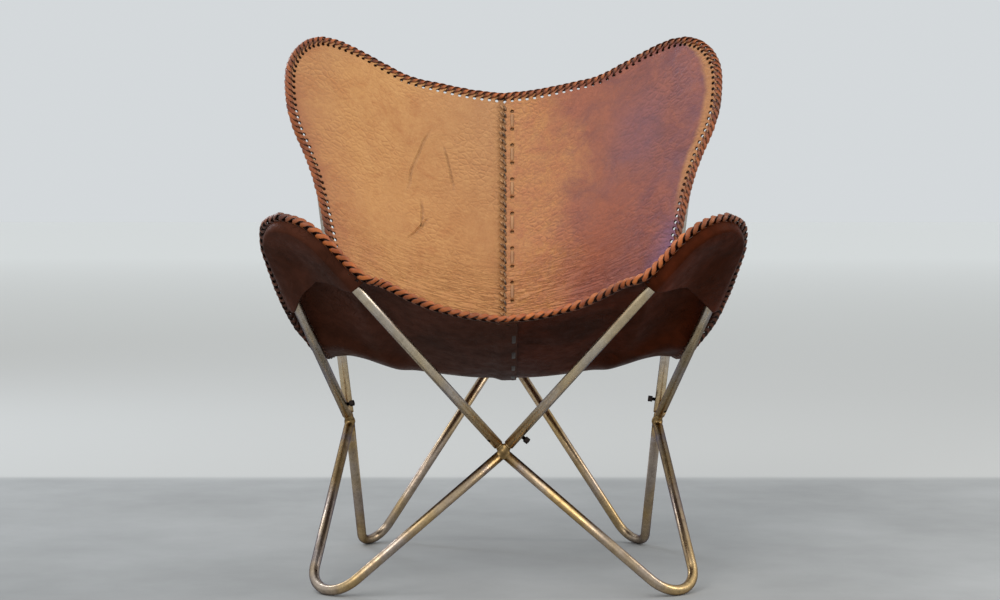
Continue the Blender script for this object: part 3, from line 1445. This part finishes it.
def short_stitches(name, starts, sides, lean, size, material, arch, narrowing, under=False, bow=0.0):
    """Short thongs from one hole to another, each arched over the hide or under it, joined in one piece."""
    made = []
    width, height = size
    (from_line, _), (to_line, _) = [seam_line(x, LEATHER / 2) for x in sides]
    share = np.linspace(0, 1, STITCH_STEPS)
    swell = np.sin(share * math.pi)
    for index, start in enumerate(starts):
        here, normal = from_line(start)
        there, _ = to_line(start + lean)
        rise = swell ** 0.5 * (arch + height / 2) - (1 - swell ** 0.5) * STITCH_SINK
        if under:
            rise = -rise - 2 * LEATHER - LACE_GAP
        path = here + (there - here) * share[:, None] + normal * rise[:, None]
        path[:, 0] -= bow * swell
        tangent = unit(np.gradient(path, axis=0))
        wide = unit(np.cross(tangent, np.broadcast_to(normal, path.shape)))
        widths = width * (1 - narrowing + narrowing * swell ** 0.4)
        made.append(rolled(
            f"{name}_{index}", path, wide, np.cross(wide, tangent), widths, height,
            share + index * STITCH_MAP_STEP, [material], closed=False))
    return joined(name, made)


hook_starts = np.arange(SEAM_FROM, seam_length - SEAM_SHORT, HOOK_PITCH)
beads = short_stitches(
    "seam_beads", hook_starts + BEAD_AFTER_HOOK, BEAD_SIDES, BEAD_LEAN, BEAD_SIZE, bead_thong,
    arch=0.5, narrowing=0.5)
stitches = short_stitches(
    "seam_stitches", hook_starts, HOOK_SIDES, HOOK_LEAN, HOOK_SIZE, seam_thong,
    arch=0.1, narrowing=0.5, bow=HOOK_BOW)
running = short_stitches(
    "running_thong", run_starts, (RUN_X, RUN_X), RUN_LENGTH, RUN_SIZE, running_thong,
    arch=0.05, narrowing=0.12)
running_back = short_stitches(
    "running_thong_back", run_starts[:-1] + RUN_LENGTH, (RUN_X, RUN_X), RUN_PITCH - RUN_LENGTH, RUN_SIZE,
    dark_thong, arch=0.05, narrowing=0.12, under=True)
for made, cad_name in (
    (beads, "seam_lacing"), (stitches, None), (running, "seam_thong"), (running_back, None),
):
    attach(made, BODY)
    if cad_name:
        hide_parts(cad_name)

# Stage and light
FLOOR_WIDE = 40
FLOOR_BEHIND = 1.13
SUN_POWER = 0.95
SUN_SPREAD = 50
SUN_WAY = (0.45, 0.62, -0.85)
SUN_COLOUR = (1.0, 0.98, 0.95)
ROOM_COLOUR = (0.66, 0.69, 0.71, 1)
# Each lamp's name, place, the height it is aimed at over the chair's middle, size, power and colour.
LAMPS = (
    ("back_left", (-2.4, 2.2, 2.6), 0.5, (0.7, 2.0), 34, (0.82, 0.9, 1.0)),
    ("front_strip", (-1.3, -3.2, 2.4), 0.4, (0.6, 1.6), 16, (1.0, 0.96, 0.9)),
    ("right", (3.0, -0.4, 2.2), 0.4, (0.7, 2.0), 26, (1.0, 0.95, 0.88)),
)


def stage_floor():
    """A plain floor that turns paler behind the chair, where the photograph's floor meets its wall."""
    bm = bmesh.new()
    bmesh.ops.create_grid(bm, x_segments=1, y_segments=1, size=FLOOR_WIDE)
    material, shader = finish_named("pale_floor", {"Roughness": 0.9, "Specular IOR Level": 0.1})
    place = object_place(shader)
    patches = cloud_of(place, 1.8, 8, 0.62)
    near = ramp_of(patches, [(0.3, linear(150, 151, 151)), (0.7, linear(172, 173, 173))])
    _, behind, _ = split(place)
    turns_pale = grey_ramp(product(behind, 0.1), FLOOR_BEHIND * 0.099, FLOOR_BEHIND * 0.104)
    pale = ramp_of(maths("DIVIDE", behind, FLOOR_WIDE), [
        (0.03, linear(192, 192, 190)), (0.08, linear(194, 194, 192)), (0.18, linear(204, 205, 203)),
        (0.42, linear(224, 226, 225)),
    ])
    feed(shader, {"Base Color": mixed(turns_pale, near, pale)})
    piece_from("floor", bm, [material])


def facing_along(direction):
    return Vector(direction).to_track_quat("-Z", "Y").to_euler()


stage_floor()
sun = bpy.data.lights.new("soft_sun", "SUN")
sun.energy = SUN_POWER
sun.angle = math.radians(SUN_SPREAD)
sun.color = SUN_COLOUR
shown("soft_sun", sun).rotation_euler = facing_along(SUN_WAY)
for name, place, height, size, power, colour in LAMPS:
    lamp = bpy.data.lights.new(name, "AREA")
    lamp.shape = "RECTANGLE"
    lamp.size, lamp.size_y = size
    lamp.energy = power
    lamp.color = colour
    holder = shown(name, lamp)
    holder.location = place
    holder.rotation_euler = facing_along(Vector((0, 0, height)) - Vector(place))
    holder.visible_camera = False

world = bpy.data.worlds.new("studio")
bpy.context.scene.world = world
world.use_nodes = True
world.node_tree.nodes["Background"].inputs["Color"].default_value = ROOM_COLOUR
world.node_tree.nodes["Background"].inputs["Strength"].default_value = 1.0
bpy.context.scene.view_settings.view_transform = "Standard"
